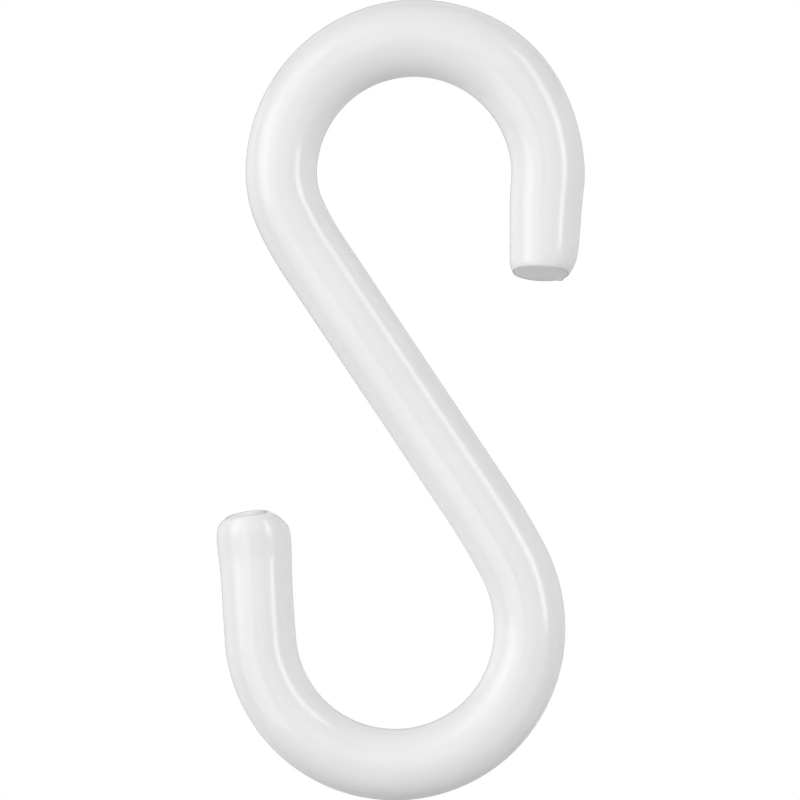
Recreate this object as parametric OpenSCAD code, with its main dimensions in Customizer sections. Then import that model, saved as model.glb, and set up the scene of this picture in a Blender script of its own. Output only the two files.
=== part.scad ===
// S hook bent from one length of round steel wire and dipped in white plastic: one piece, no joints.
// It hangs in the XZ plane with +Z up, and its front is the side that faces -Y.
// The origin is the rail seat, on the inside of the upper bend at its crown.

/* [Wire and coat] */
// Diameter of the bare steel wire
wire_d = 6; // [4:0.1:8]
// Thickness of the plastic coat on the shank and the lower bend
coat_t = 0.55; // [0.3:0.05:1]

/* [Upper bend] */
// Inside radius of the upper bend, the side that hangs on the rail
upper_inside_r = 9.7; // [7:0.1:16]
// Angle by which the upper leg leans in towards the shank
upper_leg_lean = 3.5; // [0:0.5:20]
// Straight length of the upper leg, from the bend to its cut end
upper_leg = 6.4; // [4:0.1:20]

/* [Run into the shank] */
// Inside radius where the upper bend tightens next to the shank
tight_inside_r = 6.4; // [4:0.1:12]
// Turn of that tighter stretch
tight_turn = 27; // [10:1:40]
// Inside radius where the wire sprang back and eases into the shank
ease_inside_r = 29; // [15:1:60]
// Turn of that easing stretch
ease_turn = 8.5; // [2:0.5:15]

/* [Shank] */
// Angle between the shank and the vertical
shank_lean = 33.8; // [20:0.1:45]
// Straight length of the shank
shank_len = 28.8; // [15:0.1:80]

/* [Lower bend] */
// Inside radius where the shank starts to curve
lead_inside_r = 68; // [30:1:120]
// Turn of that first stretch
lead_turn = 6; // [2:0.5:12]
// Inside radius where the lower bend opens out next to the shank
open_inside_r = 10.9; // [6:0.1:20]
// Turn of that opened stretch
open_turn = 37; // [15:1:50]
// Inside radius of the lower bend, the side that carries the load
lower_inside_r = 9.9; // [7:0.1:16]
// Angle by which the lower leg leans out from the upright
lower_leg_lean = 4.5; // [0:0.5:20]
// Straight length of the lower leg, from the bend to its cut end
lower_leg = 9.7; // [4:0.1:20]

/* [Coat gathered on the crown] */
// Most that the coat adds to the rod's diameter, on the outside of the upper bend
pool_t = 0.65; // [0:0.05:1]
// Where it is thickest, in degrees from the crown towards the upper leg
pool_at = 29; // [0:1:50]

/* [Coat on the legs] */
// Diameter that the coat adds on the upper leg, next to the bend
upper_leg_more = 0.2; // [0:0.05:0.6]
// Diameter that the coat adds at the lower leg's end
lower_leg_more = 0.3; // [0:0.05:0.6]

/* [Upper cut end] */
// Length from the straight leg to the middle of the cut face
upper_end_len = 3.1; // [2.5:0.1:6]
// Width that the shear rolled off the face, across the plane of the hook
upper_roll = 0.4; // [0:0.1:2]
// How far the cut face sits towards the inside of the bend
upper_face_in = 0.1; // [0:0.05:1]
// Tilt of the cut face towards the front
upper_face_tilt = 12; // [0:1:20]
// Radius of the coat round the rim of the cut face
upper_rim_r = 0.8; // [0.5:0.05:1.5]
// How far back from the cut face the rolled shoulder lies
upper_shoulder_back = 1.7; // [1:0.1:2.4]
// How much narrower the rod is at that shoulder
upper_shoulder_in = 0.4; // [0:0.05:2]

/* [Lower cut end] */
// Length from the straight leg to the middle of the cut face
lower_end_len = 3.2; // [2.5:0.1:6]
// Width that the shear rolled off the face, across the plane of the hook
lower_roll = 1; // [0:0.1:3]
// How far the cut face sits towards the outside of the bend
lower_face_out = 0.5; // [0:0.05:1]
// Slant of the cut face in the plane of the hook, falling towards the outside
lower_face_slant = 9; // [0:1:20]
// Tilt of the cut face towards the front
lower_face_tilt = 3; // [0:1:20]
// Radius of the coat round the rim of the cut face
lower_rim_r = 1.1; // [0.5:0.05:1.5]
// How far back from the cut face the rolled shoulder lies
lower_shoulder_back = 2.1; // [1:0.1:2.4]
// How much narrower the rod is at that shoulder
lower_shoulder_in = 0.2; // [0:0.05:2]

/* [Hidden] */

rod_d = wire_d + 2 * coat_t;

// Radii of the rod's own centre line in each bend
upper_r = upper_inside_r + rod_d / 2;
tight_r = tight_inside_r + rod_d / 2;
ease_r = ease_inside_r + rod_d / 2;
lead_r = lead_inside_r + rod_d / 2;
open_r = open_inside_r + rod_d / 2;
lower_r = lower_inside_r + rod_d / 2;

// Turns of the upper bend on each side of its crown, and of the lower bend
crown_to_leg = 90 + upper_leg_lean;
crown_to_shank = 90 + shank_lean - tight_turn - ease_turn;
lower_turn = 180 + shank_lean - lead_turn - open_turn - lower_leg_lean;

// Every other stretch is slimmer by this and runs into its neighbours by the lap, so no two skins graze
step_d = 0.04;
lap = 0.1;
slim_d = rod_d - step_d;

// Facets round the rod and the angle between the crown's rings
rod_sides = 48;
ring_step = 5;
$fn = rod_sides;

// From 1 at u = 0 to 0 at u = 1, level at both ends
function fade(u) = pow(cos(90 * u), 2);

// What the coat adds to the rod's diameter at angle a from the crown, positive towards the upper leg
function gathered(a) =
    a < pool_at
        ? pool_t * fade((pool_at - a) / (pool_at + crown_to_shank))
        : upper_leg_more + (pool_t - upper_leg_more) * fade((a - pool_at) / (crown_to_leg - pool_at));

// One ring of the crown: the inside of the bend stays true and the added coat lies outside
function crown_ring(a) =
    let (r = (rod_d + gathered(a)) / 2)
    [for (k = [0 : rod_sides - 1])
        let (t = 360 * k / rod_sides, reach = upper_inside_r + r + r * cos(t))
        [reach * sin(a), r * sin(t), reach * cos(a)]];

// The upper bend as one closed skin, ring by ring from the shank side to the upper leg
module crown() {
    span = crown_to_shank + crown_to_leg;
    rings = ceil(span / ring_step);
    points = [for (i = [0 : rings]) each crown_ring(-crown_to_shank + span * i / rings)];
    skin = [for (i = [0 : rings - 1], k = [0 : rod_sides - 1])
        let (a = i * rod_sides + k, b = i * rod_sides + (k + 1) % rod_sides)
        [a, b, b + rod_sides, a + rod_sides]];
    first = [for (k = [rod_sides - 1 : -1 : 0]) k];
    last = [for (k = [0 : rod_sides - 1]) rings * rod_sides + k];
    polyhedron(points = points, faces = concat([first], skin, [last]), convexity = 4);
}

// Slim straight rod along +Z, lapped at both ends, and what follows starts where it stops
module straight(length, d1 = slim_d, d2 = slim_d) {
    translate([0, 0, -lap]) cylinder(h = length + 2 * lap, d1 = d1, d2 = d2);
    translate([0, 0, length]) children();
}

// Bent rod that starts along +Z and turns towards -X, and what follows starts where it stops
module bend(radius, turn, slim = false) {
    extra = slim ? lap / radius * 180 / PI : 0;
    translate([-radius, 0, 0]) {
        rotate([90, 0, 0]) rotate_extrude(angle = turn + 2 * extra, start = -extra)
            translate([radius, 0]) circle(d = slim ? slim_d : rod_d);
        rotate([0, -turn, 0]) translate([radius, 0, 0]) children();
    }
}

// A ring with a round section, which a hull fills into a disc with a soft rim
module soft_disc(d, rim_r, squeeze = 1) scale([squeeze, 1, 1])
    rotate_extrude() translate([d / 2 - rim_r, 0]) circle(r = rim_r, $fn = 16);

// Sheared end of the wire under its coat, along +Z, with the outside of the bend towards +X
module cut_end(d, length, rim_r, shoulder_back, shoulder_in, roll, out, slant, tilt) {
    narrowed = (wire_d - roll) / wire_d;
    hull() {
        cylinder(h = 2 * lap, d = d);
        translate([0, 0, length - shoulder_back]) soft_disc(d - shoulder_in, rim_r);
        translate([out, 0, length - rim_r]) rotate([-tilt, slant, 0]) soft_disc(wire_d, rim_r, narrowed);
    }
}

// From the crown down to the upper leg's cut end
module upper_leg_side() rotate([0, crown_to_leg, 0])
    translate([0, 0, upper_inside_r + (rod_d + upper_leg_more) / 2]) rotate([180, -90, 0])
        straight(upper_leg, slim_d + upper_leg_more, slim_d)
            cut_end(rod_d, upper_end_len, upper_rim_r, upper_shoulder_back, upper_shoulder_in,
                upper_roll, -upper_face_in, 0, upper_face_tilt);

// From the crown down the shank, round the lower bend and up to the lower leg's cut end
module shank_side() rotate([0, -crown_to_shank, 0]) translate([0, 0, upper_r]) rotate([0, -90, 0])
    bend(tight_r, tight_turn, slim = true)
    bend(ease_r, ease_turn)
    straight(shank_len)
    rotate([0, 0, 180])
    bend(lead_r, lead_turn)
    bend(open_r, open_turn, slim = true)
    bend(lower_r, lower_turn)
    straight(lower_leg, slim_d, slim_d + lower_leg_more)
    cut_end(rod_d + lower_leg_more, lower_end_len, lower_rim_r, lower_shoulder_back, lower_shoulder_in,
        lower_roll, lower_face_out, lower_face_slant, lower_face_tilt);

module hook() color([0.93, 0.93, 0.93]) translate([0, 0, -upper_inside_r]) {
    crown();
    upper_leg_side();
    shank_side();
}

hook();
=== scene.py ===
from math import cos, pi, radians, sin

import bpy
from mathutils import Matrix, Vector


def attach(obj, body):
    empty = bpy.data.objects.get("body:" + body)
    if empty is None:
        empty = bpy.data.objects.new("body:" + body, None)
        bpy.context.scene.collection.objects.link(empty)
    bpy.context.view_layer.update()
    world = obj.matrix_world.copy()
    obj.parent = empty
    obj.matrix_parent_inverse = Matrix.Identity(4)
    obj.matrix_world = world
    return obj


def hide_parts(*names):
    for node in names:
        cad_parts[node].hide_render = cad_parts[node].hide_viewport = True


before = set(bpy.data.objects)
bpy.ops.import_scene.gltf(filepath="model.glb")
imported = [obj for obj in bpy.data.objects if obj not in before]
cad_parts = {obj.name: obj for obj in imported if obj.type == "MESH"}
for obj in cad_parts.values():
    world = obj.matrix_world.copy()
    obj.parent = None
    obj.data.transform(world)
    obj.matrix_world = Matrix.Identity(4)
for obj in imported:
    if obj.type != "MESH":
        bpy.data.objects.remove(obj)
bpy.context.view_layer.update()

mm = 0.001

# The hook: one length of round steel wire, bent cold into an S in one plane, sheared off at both ends and
# then dipped in white plastic. The coat is even along the inside of the upper bend, gathers on its outside
# and rounds both cut ends, whose flat faces still show under it.
rod_r = 3.568 * mm
crown_x = 0.05 * mm
front = Vector((0, -1, 0))

# The coat is drawn in rings along the wire, about this far apart
ring_gap = 0.35 * mm

# Radius of the wire's centre line in each stretch and its turn, from the crown towards the shank
shank_lean = radians(33.772)
tight_turn = radians(26.952)
ease_turn = radians(8.687)
upper_r = 13.275 * mm
tight_r = 9.941 * mm
ease_r = 32.777 * mm
shank_len = 28.818 * mm
lead_r = 72.195 * mm
lead_turn = radians(5.797)
open_r = 14.447 * mm
open_turn = radians(36.883)
lower_r = 13.472 * mm

# Lean of both legs off the upright
upper_lean = radians(3.556)
lower_lean = radians(4.476)

# What the coat adds outside the upper bend, where it is thickest, and how it ends on the upper leg
pool_t = 0.655 * mm
pool_at = radians(28.86)
pool_to_leg = radians(54.2)
pool_to_shank = radians(130)
leg_more = 0.11 * mm

# The side of the wire that the outside of a bend is on, seen from the front and looking along its run
on_left = -1
on_right = 1


def follow(heading, stretches):
    """Places and headings along the wire from the crown, for stretches of a length and a turn. A turn to the
    left is positive."""
    place = Vector((crown_x, 0, rod_r))
    run = [(place, heading)]
    for length, turn in stretches:
        count = max(2, round(length / ring_gap))
        half = turn / count / 2
        chord = length / count * (sin(half) / half if half else 1)
        for _ in range(count):
            heading += half
            place = place + chord * Vector((cos(heading), 0, sin(heading)))
            heading += half
            run.append((place, heading))
    return run


def arc(radius, turn):
    """Length and turn of a bent stretch."""
    return radius * abs(turn), turn


def gathered(angle):
    """What the coat adds outside the upper bend at an angle from the crown towards the upper leg."""
    spread = pool_to_leg if angle > pool_at else pool_to_shank
    return pool_t * cos(min(1, abs(angle - pool_at) / spread) * pi / 2) ** 2


def ease(u):
    """Smooth step from 0 to 1."""
    return u * u * (3 - 2 * u)


def ring(place, side, ahead, reach, lie=(0, 0, 0, 0), near_end=0.0, rim_shade_line=0.0):
    """One ring of the coat: its place on the wire, the directions to the outside of its bend and ahead along
    the wire, how far it reaches to the outside, the inside, the front and the back, how far ahead it lies on
    each of those four sides, how near the cut face it is, from 0 to 1, and how much of the painted shade
    line on the face's rim it carries."""
    return {"place": place, "side": side, "ahead": ahead, "reach": reach, "lie": lie, "near_end": near_end,
            "rim_shade_line": rim_shade_line}


def directions(heading, outside):
    """The direction to the outside of the wire's bend, and the one ahead along it."""
    return outside * Vector((sin(heading), 0, -cos(heading))), Vector((cos(heading), 0, sin(heading)))


def bend_ring(place, heading, outside, more=0.0):
    """A ring of the bent rod, thicker outside the bend by more."""
    side, ahead = directions(heading, outside)
    return ring(place, side, ahead, (rod_r + more, rod_r, rod_r + more / 2, rod_r + more / 2))


# Rings on a leg and its cut end: how many lie between two stations and across the face, and the small gap
# between their places on the wire, which only keeps its direction there
span_steps = 6
face_steps = 24
end_gap = 0.04 * mm

# The crease and the dish of the coat on the face, and the thin line of painted shade on its rim. Places and
# widths are shares of the way from the face's middle to its edge, and the painted line's reach back along
# the leg is counted in spans between stations.
crease_at = 0.95
crease_half = 0.06
crease_depth = 0.05 * mm
dish_depth = 0.04 * mm
rim_shade_width = 0.04
rim_shade_spans = 1.3


def between(values, k, u):
    """A smooth curve through values, at the share u of the way from value k to the next."""
    last = len(values) - 1
    a, b, c, d = values[max(k - 1, 0)], values[k], values[k + 1], values[min(k + 2, last)]
    return b + 0.5 * u * (c - a + u * (2 * a - 5 * b + 4 * c - d + u * (3 * (b - c) + d - a)))


def leg_rings(place, heading, outside, stations, face_middle):
    """Rings of a straight leg and its cut end, through stations that give the reach and how far ahead it is
    on the outside of the bend, on its inside, in front and behind. The last station is the face's edge."""
    side, ahead = directions(heading, outside)
    sides = range(4)
    curves = [[[station[n][part] * mm for station in stations] for part in (0, 1)] for n in sides]
    made = []

    def add(reach, lie, near_end, rim_shade_line):
        at = len(made) * end_gap
        made.append(ring(place + ahead * at, side, ahead, reach, [z - at for z in lie], near_end, rim_shade_line))

    # Down the leg and round the rim to the edge of the face
    spans = len(stations) - 1
    for k in range(spans):
        for i in range(span_steps):
            u = (i + 1) / span_steps
            near_end = ((k + u) / spans) ** 3
            # Painted shade: how much of the darker line on the face's rim this ring carries, growing towards
            # the face's edge
            rim_shade_line = max(0.0, 1 - (spans - k - u) / rim_shade_spans) ** 2
            reach = [between(curves[n][0], k, u) for n in sides]
            lie = [between(curves[n][1], k, u) for n in sides]
            add(reach, lie, near_end, rim_shade_line)
    # Across the face, over the fine crease inside its rim and the shallow dish of the coat
    edge = [curves[n][0][-1] for n in sides]
    rise = [curves[n][1][-1] - face_middle for n in sides]
    for i in range(face_steps + 1):
        q = 1 - i / face_steps
        crease = crease_depth * max(0.0, 1 - abs(q - crease_at) / crease_half)
        dish = dish_depth * (1 - q * q)
        reach = [edge[n] * q for n in sides]
        lie = [face_middle + rise[n] * q - crease - dish for n in sides]
        add(reach, lie, 1.0, max(0.0, 1 - (1 - q) / rim_shade_width))
    return made


# Stations of both legs in mm, each with its reach and its distance ahead on the outside of the bend, on its
# inside, in front and behind, and how far ahead the middle of each face lies. The upper end keeps a nearly
# round face. The lower one is rolled over on its inside.
upper_stations = [
    ((3.788, 0), (3.568, 0), (3.678, 0), (3.678, 0)),
    ((3.69, 2.0), (3.575, 2.0), (3.62, 2.0), (3.62, 2.0)),
    ((3.66, 4.0), (3.46, 4.0), (3.57, 4.0), (3.57, 4.0)),
    ((3.63, 5.6), (3.36, 5.6), (3.53, 5.6), (3.53, 5.7)),
    ((3.57, 6.75), (3.28, 6.9), (3.48, 6.85), (3.49, 7.1)),
    ((3.46, 7.55), (3.24, 7.75), (3.42, 7.65), (3.46, 8.1)),
    ((3.28, 8.15), (3.18, 8.35), (3.36, 8.13), (3.40, 8.9)),
    ((3.06, 8.62), (3.04, 8.75), (3.28, 8.38), (3.28, 9.4)),
    ((2.87, 8.95), (2.91, 9.0), (3.17, 8.51), (3.12, 9.66)),
    ((2.72, 9.12), (2.80, 9.14), (3.04, 8.55), (2.92, 9.80)),
]
upper_face = 9.16 * mm
lower_stations = [
    ((3.568, 0), (3.568, 0), (3.568, 0), (3.568, 0)),
    ((3.54, 2.4), (3.57, 2.4), (3.57, 2.4), (3.57, 2.4)),
    ((3.49, 4.8), (3.62, 4.8), (3.56, 4.8), (3.57, 4.8)),
    ((3.47, 6.8), (3.70, 6.8), (3.55, 6.8), (3.58, 6.8)),
    ((3.52, 8.5), (3.80, 8.4), (3.56, 8.5), (3.60, 8.5)),
    ((3.57, 9.8), (3.845, 9.7), (3.69, 9.9), (3.62, 9.9)),
    ((3.54, 10.8), (3.82, 10.5), (3.76, 10.95), (3.63, 11.0)),
    ((3.42, 11.45), (3.70, 11.1), (3.70, 11.68), (3.60, 11.8)),
    ((3.18, 11.9), (3.37, 11.65), (3.56, 12.2), (3.48, 12.35)),
    ((2.92, 12.2), (2.84, 12.24), (3.42, 12.47), (3.25, 12.70)),
    ((2.69, 12.38), (2.10, 12.67), (3.24, 12.62), (3.05, 12.84)),
    ((2.54, 12.44), (1.35, 12.74), (3.06, 12.67), (2.85, 12.94)),
]
lower_face = 12.82 * mm

# From the crown down to the upper leg's cut end
upper_turn = pi / 2 + upper_lean
leg_run = follow(0, [arc(upper_r, -upper_turn)])
leg_side = []
for place, heading in leg_run:
    more = gathered(-heading) + 2 * leg_more * ease(-heading / upper_turn)
    leg_side.append(bend_ring(place, heading, on_left, more))
leg_side += leg_rings(*leg_run[-1], on_left, upper_stations, upper_face)

# From the crown down the shank and round the lower bend to the lower leg's cut end. Past the shank the wire
# bends the other way.
upper_bend = arc(upper_r, pi / 2 + shank_lean - tight_turn - ease_turn)
into_shank = [arc(tight_r, tight_turn), arc(ease_r, ease_turn), (shank_len, 0)]
lower_turn = pi + shank_lean - lead_turn - open_turn - lower_lean
out_of_shank = [arc(lead_r, -lead_turn), arc(open_r, -open_turn), arc(lower_r, -lower_turn)]
shank_run = follow(pi, [upper_bend, *into_shank])
whole_run = follow(pi, [upper_bend, *into_shank, *out_of_shank])
shank_side = [bend_ring(place, heading, on_right, gathered(pi - heading)) for place, heading in shank_run]
shank_side += [bend_ring(place, heading, on_left) for place, heading in whole_run[len(shank_run):]]
shank_side += leg_rings(*whole_run[-1], on_left, lower_stations, lower_face)

# The wire as a chain of edges, one point for each ring, which carries the rings' values. Each value has its
# name, its kind and the field that holds it.
carried = (
    ("side", "FLOAT_VECTOR", "vector"),
    ("ahead", "FLOAT_VECTOR", "vector"),
    ("reach", "FLOAT_COLOR", "color"),
    ("lie", "FLOAT_COLOR", "color"),
    ("near_end", "FLOAT", "value"),
    ("rim_shade_line", "FLOAT", "value"),
)
rings = leg_side[:0:-1] + shank_side
wire = bpy.data.meshes.new("wire")
wire.from_pydata([r["place"] for r in rings], [(i, i + 1) for i in range(len(rings) - 1)], [])
for name, kind, field in carried:
    values = wire.attributes.new(name, kind, "POINT").data
    for i, r in enumerate(rings):
        setattr(values[i], field, r[name])


def new_material(name):
    """A material with an empty node tree."""
    material = bpy.data.materials.new(name)
    material.use_nodes = True
    material.node_tree.nodes.clear()
    return material


def add_node(tree, kind, inputs=(), **settings):
    """A node of a tree, with its settings made and its inputs set or joined to other sockets."""
    node = tree.nodes.new(kind)
    for key, value in settings.items():
        setattr(node, key, value)
    for key, value in dict(inputs).items():
        if isinstance(value, bpy.types.NodeSocket):
            tree.links.new(value, node.inputs[key])
        else:
            node.inputs[key].default_value = value
    return node


def add_math(tree, operation, *values):
    """The result of a sum, product or other calculation that a tree makes with up to three values."""
    return add_node(tree, "ShaderNodeMath", dict(enumerate(values)), operation=operation).outputs["Value"]


# White coat: glossy dipped plastic, with a faint unevenness of its tone, shine and surface, a rougher,
# speckled skin towards both cut ends, where it dried over the sheared edge, and a thin line of painted shade
# on each face's rim
white_coat = new_material("white_coat")
finish = white_coat.node_tree

# Least and most of the coat's tone, of its roughness, and of the clouding that both follow
coat_tone = (0.855, 0.875)
coat_roughness = (0.10, 0.15)
clouds_between = (0.3, 0.7)

# Roughness and speckle that the skin gains from where near_end is end_from up to the cut face, and how much
# darker the painted shade line on the rim makes the coat at the most
end_from = 0.5
end_rougher = 0.05
end_speckle = 0.5
rim_shade_strength = 0.55

# How strongly the fine peel of the surface shows, and how high it stands
peel_strength = 0.25
peel_height = 0.06 * mm

# The patterns' scales, in waves to the metre
cloud_scale = 160
peel_scale = 420
speckle_scale = 1100


def pattern(scale, detail, roughness):
    """A cloudy pattern in the plastic, from 0 to 1."""
    node = add_node(finish, "ShaderNodeTexNoise", {"Vector": place_on, "Scale": scale, "Detail": detail,
                                                   "Roughness": roughness})
    return node.outputs["Fac"]


def ranged(value, given_range, wanted_range):
    """A value moved from one range to another and kept within it."""
    node = add_node(finish, "ShaderNodeMapRange", {"Value": value,
                                                   "From Min": given_range[0], "From Max": given_range[1],
                                                   "To Min": wanted_range[0], "To Max": wanted_range[1]})
    return node.outputs["Result"]


place_on = add_node(finish, "ShaderNodeTexCoord").outputs["Object"]
near_face = add_node(finish, "ShaderNodeAttribute", attribute_name="near_end").outputs["Fac"]
# The painted shade line on each face's rim, carried by the mesh
on_rim_shade = add_node(finish, "ShaderNodeAttribute", attribute_name="rim_shade_line").outputs["Fac"]
cloudy = pattern(cloud_scale, 3, 0.5)
peel = pattern(peel_scale, 2, 0.45)
speckle = pattern(speckle_scale, 2, 0.6)
end_share = ranged(near_face, (end_from, 1.0), (0.0, 1.0))

# Painted shade: the coat's tone is darkened along the thin line on each face's rim
off_rim_shade = add_math(finish, "MULTIPLY_ADD", on_rim_shade, -rim_shade_strength, 1.0)
shade = add_math(finish, "MULTIPLY", ranged(cloudy, clouds_between, coat_tone), off_rim_shade)
white = add_node(finish, "ShaderNodeCombineColor", {"Red": shade, "Green": shade, "Blue": shade})
shine = ranged(cloudy, clouds_between, coat_roughness)
roughness = add_math(finish, "MULTIPLY_ADD", end_share, end_rougher, shine)
end_skin = add_math(finish, "MULTIPLY", add_math(finish, "MULTIPLY", speckle, end_share), end_speckle)
height = add_math(finish, "ADD", peel, end_skin)
bump = add_node(finish, "ShaderNodeBump", {"Strength": peel_strength, "Distance": peel_height,
                                           "Height": height})
plastic = add_node(finish, "ShaderNodeBsdfPrincipled", {"Base Color": white.outputs["Color"],
                                                        "Roughness": roughness, "IOR": 1.5,
                                                        "Normal": bump.outputs["Normal"]})
add_node(finish, "ShaderNodeOutputMaterial", {"Surface": plastic.outputs["BSDF"]})

# The tree that lays the coat on the wire: a ring of points at every place along the chain, each pushed out
# to the ring's reach and ahead to where the ring lies, blended smoothly between its four sides. It takes
# these inputs, each of a kind and with its value here.
coating_inputs = {
    "Sides": ("NodeSocketInt", 128),
    "Unevenness": ("NodeSocketFloat", 0.02 * mm),
    "Wave size": ("NodeSocketFloat", 7 * mm),
    "Lumps at the ends": ("NodeSocketFloat", 0.03 * mm),
    "Lump size": ("NodeSocketFloat", 1.3 * mm),
    "Seed": ("NodeSocketFloat", 4.0),
    "Coat": ("NodeSocketMaterial", white_coat),
}

# Points closer than this become one, which closes the skin at the middle of each face
weld_gap = 0.002 * mm

coating = bpy.data.node_groups.new("coat_on_wire", "GeometryNodeTree")
coating.interface.new_socket("Wire", in_out="INPUT", socket_type="NodeSocketGeometry")
for name, (kind, _) in coating_inputs.items():
    coating.interface.new_socket(name, in_out="INPUT", socket_type=kind)
coating.interface.new_socket("Hook", in_out="OUTPUT", socket_type="NodeSocketGeometry")


def step(kind, inputs=(), **settings):
    """A node of the tree that lays the coat."""
    return add_node(coating, kind, inputs, **settings)


def value_of(name, kind):
    """A value that the chain carries."""
    return step("GeometryNodeInputNamedAttribute", {"Name": name}, data_type=kind).outputs["Attribute"]


def calc(operation, *values):
    """A sum, product or other result of one or two numbers."""
    return add_math(coating, operation, *values)


def vector_calc(operation, first, second=None, scale=None):
    """A result of one or two vectors."""
    inputs = {0: first}
    if second is not None:
        inputs[1] = second
    if scale is not None:
        inputs["Scale"] = scale
    node = step("ShaderNodeVectorMath", inputs, operation=operation)
    return node.outputs["Value" if operation in ("DOT_PRODUCT", "DISTANCE") else "Vector"]


given = coating.nodes.new("NodeGroupInput").outputs
place_now = step("GeometryNodeInputPosition").outputs["Position"]
centres = step("GeometryNodeStoreNamedAttribute",
               {"Geometry": given["Wire"], "Name": "centre", "Value": place_now},
               data_type="FLOAT_VECTOR", domain="POINT")
line = step("GeometryNodeMeshToCurve", {"Mesh": centres.outputs["Geometry"]})
circle = step("GeometryNodeCurvePrimitiveCircle", {"Resolution": given["Sides"], "Radius": mm})
skin = step("GeometryNodeCurveToMesh", {"Curve": line.outputs["Curve"],
                                        "Profile Curve": circle.outputs["Curve"]})

# Where a point of the skin is: its ring's place on the wire, its direction out from there, and how far that
# direction points to the outside of the bend and to the front
centre = value_of("centre", "FLOAT_VECTOR")
outward = vector_calc("NORMALIZE", vector_calc("SUBTRACT", place_now, centre))
across = vector_calc("DOT_PRODUCT", outward, value_of("side", "FLOAT_VECTOR"))
forward = vector_calc("DOT_PRODUCT", outward, front)


def blended(name):
    """The ring's value in this direction, from its values outside, inside, in front and behind. Each of them
    counts in full on its own side and not at all on the other three."""
    four = step("FunctionNodeSeparateColor", {"Color": value_of(name, "FLOAT_COLOR")}).outputs
    total = None
    for part, direction, sign in (("Red", across, 1), ("Green", across, -1), ("Blue", forward, 1),
                                  ("Alpha", forward, -1)):
        weight = calc("MULTIPLY", direction, calc("ADD", direction, sign))
        share = calc("MULTIPLY", four[part], weight)
        total = share if total is None else calc("ADD", total, share)
    return calc("MULTIPLY", total, 0.5)


skin_reach = blended("reach")
moved_out = vector_calc("SCALE", outward, scale=skin_reach)
moved_ahead = vector_calc("SCALE", value_of("ahead", "FLOAT_VECTOR"), scale=blended("lie"))
even_surface = vector_calc("ADD", vector_calc("ADD", centre, moved_out), moved_ahead)


def ripple(size, seed):
    """A smooth random value between about -1 and 1, with waves of that size."""
    scale = calc("DIVIDE", 1.0, size)
    noise = step("ShaderNodeTexNoise", {"Vector": even_surface, "W": seed, "Scale": scale, "Detail": 1.0},
                 noise_dimensions="4D")
    return calc("SUBTRACT", calc("MULTIPLY", noise.outputs[0], 2.0), 1.0)


# The coat's waves all along the rod and its lumps near the cut ends, which fade out to each face's middle
on_rod = calc("MINIMUM", 1.0, calc("DIVIDE", skin_reach, rod_r))
lump_share = calc("MULTIPLY", value_of("near_end", "FLOAT"), value_of("near_end", "FLOAT"))
waves = calc("MULTIPLY", ripple(given["Wave size"], given["Seed"]), given["Unevenness"])
end_lumps = calc("MULTIPLY", ripple(given["Lump size"], given["Seed"]), given["Lumps at the ends"])
lumps = calc("MULTIPLY", end_lumps, lump_share)
uneven = calc("MULTIPLY", calc("ADD", waves, lumps), on_rod)
surface = vector_calc("ADD", even_surface, vector_calc("SCALE", outward, scale=uneven))


def pushed(position, at, size, by):
    """The position moved by a vector, which fades out at a distance of size from a point."""
    share = step("ShaderNodeMapRange", {"Value": vector_calc("DISTANCE", position, at), "From Min": 0.0,
                                        "From Max": size, "To Min": 1.0, "To Max": 0.0},
                 interpolation_type="SMOOTHSTEP")
    return vector_calc("ADD", position, vector_calc("SCALE", by, scale=share.outputs["Result"]))


# The burr at the upper end, and the lump and the notch beside it on the rim of the lower one, in mm: where
# each is, its size, and how far its middle is pushed
burr = ((14.75, 1.9, -20.15), 0.70, (0.16, -0.04, -0.12))
lump = ((-14.45, -1.75, -43.68), 0.60, (0.10, -0.14, 0.08))
notch = ((-14.98, -1.40, -43.62), 0.38, (0.04, 0.16, -0.22))
for at, size, by in (burr, lump, notch):
    surface = pushed(surface, Vector(at) * mm, size * mm, Vector(by) * mm)

placed = step("GeometryNodeSetPosition", {"Geometry": skin.outputs["Mesh"], "Position": surface})
closed = step("GeometryNodeMergeByDistance", {"Geometry": placed.outputs["Geometry"], "Distance": weld_gap})
smooth = step("GeometryNodeSetShadeSmooth", {"Geometry": closed.outputs["Geometry"]})
real = step("GeometryNodeRealizeInstances", {"Geometry": smooth.outputs["Geometry"]})
coated = step("GeometryNodeSetMaterial", {"Geometry": real.outputs["Geometry"], "Material": given["Coat"]})
coating.links.new(coated.outputs["Geometry"], coating.nodes.new("NodeGroupOutput").inputs["Hook"])

# The chain goes through the tree and comes out as the hook's plain mesh
chain = bpy.data.objects.new("wire_chain", wire)
bpy.context.scene.collection.objects.link(chain)
modifier = chain.modifiers.new("coat_on_wire", "NODES")
modifier.node_group = coating
for socket in coating.interface.items_tree:
    if socket.name in coating_inputs:
        modifier[socket.identifier] = coating_inputs[socket.name][1]
bpy.context.view_layer.update()
evaluated = chain.evaluated_get(bpy.context.evaluated_depsgraph_get())
hook_mesh = bpy.data.meshes.new_from_object(evaluated)
bpy.data.objects.remove(chain)
for name in ("centre", "side", "ahead", "reach", "lie"):
    hook_mesh.attributes.remove(hook_mesh.attributes[name])
hook = bpy.data.objects.new("hook_coated", hook_mesh)
bpy.context.scene.collection.objects.link(hook)
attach(hook, "root")
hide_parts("hook")

# The camera looks straight at the front of the hook, level with its middle, and takes in 80 mm at the wire
view_x = -1.36 * mm
view_z = -32.3 * mm
view_height = 80 * mm
camera_away = 0.4
camera_data = bpy.data.cameras.new("camera")
camera_data.sensor_width = 36
camera_data.lens = camera_data.sensor_width * camera_away / view_height
camera_data.clip_start = 0.01
camera_data.clip_end = 50
camera = bpy.data.objects.new("camera", camera_data)
camera.location = (view_x, -camera_away, view_z)
camera.rotation_euler = (pi / 2, 0, 0)
bpy.context.scene.collection.objects.link(camera)
bpy.context.scene.camera = camera

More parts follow.
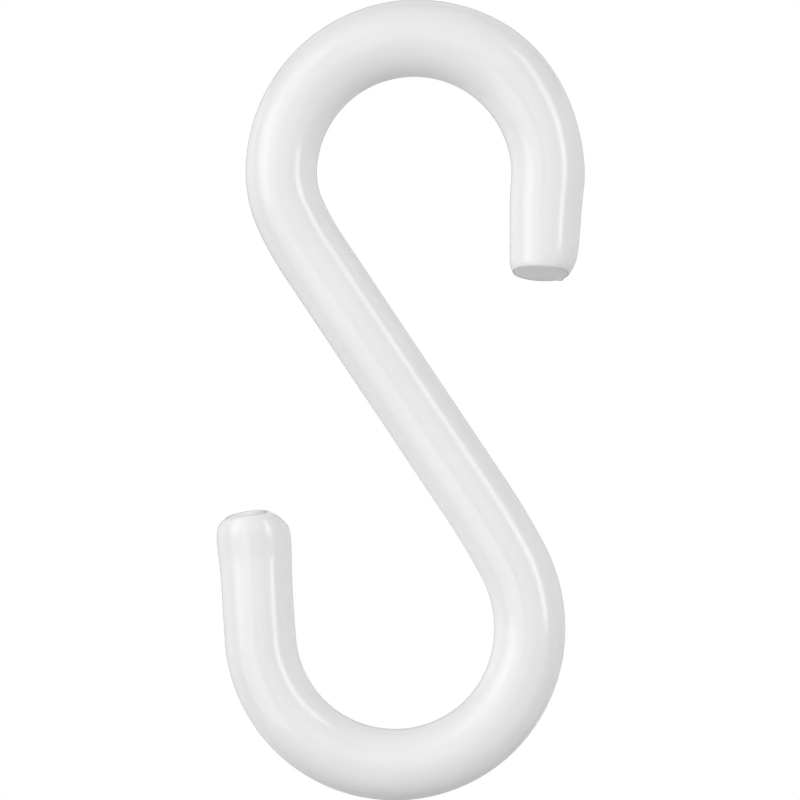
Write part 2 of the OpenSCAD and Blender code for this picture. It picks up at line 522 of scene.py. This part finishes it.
# The studio: a wide pale floor well below the hook, and a white card behind it, larger than the view. The
# floor throws weaker light up at the hook than its pale look would. The card shows as plain white, and
# lights the hook only as pale matt paint does.
floor_z = -0.5
floor_half = 4.0
pale_tone = 0.8
floor_throws = 0.40
card_away = 1.4
card_over_view = 1.6
card_half = card_over_view * (camera_away + card_away) * view_height / camera_away / 2


def grey(level):
    """A colour of that level."""
    return (level, level, level, 1)


def stage_paint(name, throws, shows):
    """A material that throws light at the hook as one shader does, and shows as another where it is seen,
    straight or as a reflection."""
    paint = new_material(name)
    tree = paint.node_tree
    light_path = add_node(tree, "ShaderNodeLightPath").outputs
    mirrored = add_math(tree, "MAXIMUM", light_path["Is Camera Ray"], light_path["Is Glossy Ray"])
    seen = add_math(tree, "MAXIMUM", mirrored, light_path["Is Transmission Ray"])
    both = add_node(tree, "ShaderNodeMixShader", {"Fac": seen, 1: add_node(tree, *throws).outputs[0],
                                                  2: add_node(tree, *shows).outputs[0]})
    add_node(tree, "ShaderNodeOutputMaterial", {"Surface": both.outputs["Shader"]})
    return paint


def panel(name, corners, material):
    """Adds a flat four-sided panel that isn't part of the object."""
    mesh = bpy.data.meshes.new(name)
    mesh.from_pydata(corners, [], [(0, 1, 2, 3)])
    mesh.materials.append(material)
    thing = bpy.data.objects.new(name, mesh)
    bpy.context.scene.collection.objects.link(thing)


pale = ("ShaderNodeBsdfDiffuse", {"Color": grey(pale_tone)})
dimmer = ("ShaderNodeBsdfDiffuse", {"Color": grey(floor_throws)})
glow = ("ShaderNodeEmission", {"Color": grey(1), "Strength": 1.0})
corner_signs = ((-1, -1), (1, -1), (1, 1), (-1, 1))
panel("floor", [(a * floor_half, b * floor_half, floor_z) for a, b in corner_signs],
      stage_paint("floor_paint", dimmer, pale))
panel("white_card", [(view_x + a * card_half, card_away, view_z + b * card_half) for a, b in corner_signs],
      stage_paint("white_card", pale, glow))

# The light: a grey studio all round, large softboxes on the left, one softbox on the right with a long strip
# light and a short one over its lower half, which lean outward at their top, and weaker fills all round the
# hook
world_level = 0.37
world = bpy.data.worlds.new("studio")
world.use_nodes = True
background = world.node_tree.nodes["Background"].inputs
background["Color"].default_value = grey(1)
background["Strength"].default_value = world_level
bpy.context.scene.world = world
lamps_away = 0.6


def softbox(name, azimuth, elevation, width, height, radiance, roll=0):
    """Adds a rectangular lamp that faces the middle of the hook, with its angles in degrees and its sides in
    metres. Azimuth 0 is behind the camera and 90 is on the right. A radiance of 1 is as bright as white."""
    lamp = bpy.data.lights.new(name, "AREA")
    lamp.shape = "RECTANGLE"
    lamp.size = width
    lamp.size_y = height
    lamp.energy = radiance * width * height * pi
    thing = bpy.data.objects.new(name, lamp)
    azimuth = radians(azimuth)
    elevation = radians(elevation)
    direction = Vector((sin(azimuth) * cos(elevation), -cos(azimuth) * cos(elevation), sin(elevation)))
    thing.location = Vector((view_x, 0, view_z)) + lamps_away * direction
    thing.rotation_euler = direction.to_track_quat("Z", "Y").to_euler()
    thing.rotation_euler.rotate_axis("Z", radians(roll))
    bpy.context.scene.collection.objects.link(thing)


# Each lamp's azimuth, elevation, width, height, radiance and roll
softbox("softbox_left_wide", -51, 5, 0.665, 0.938, 1.11, 20)
softbox("softbox_left_core", -60, 10, 0.310, 0.430, 1.15, 20)
softbox("softbox_left_middle", -56, 8, 0.147, 0.255, 0.52, 10)
softbox("softbox_left_low", -28, -22, 0.367, 0.255, 0.42)
softbox("fill_left_low", -62, -36, 0.500, 0.200, 0.29)
softbox("softbox_left_top", -50, 46, 0.693, 0.233, 0.48)
softbox("softbox_right", 50, -4, 0.367, 0.840, 0.83, -10)
softbox("strip_right", 54.5, 22, 0.155, 0.585, 2.50, -9)
softbox("strip_right_low", 54, 8, 0.155, 0.290, 0.85, -9)
softbox("fill_front", 10, 8, 0.437, 0.322, 0.44)
softbox("fill_left", -126, -6, 0.560, 0.750, 0.42)
softbox("fill_right", 100, -6, 0.560, 0.750, 0.34)
softbox("fill_right_behind", 142, 0, 0.367, 0.560, 0.35)
softbox("fill_top", 0, 88, 0.693, 0.509, 0.09)
softbox("fill_top_behind", 180, 45, 0.693, 0.378, 0.45)
softbox("fill_low_behind", 180, -28, 0.693, 0.378, 0.28)

bpy.context.scene.view_settings.view_transform = "Standard"
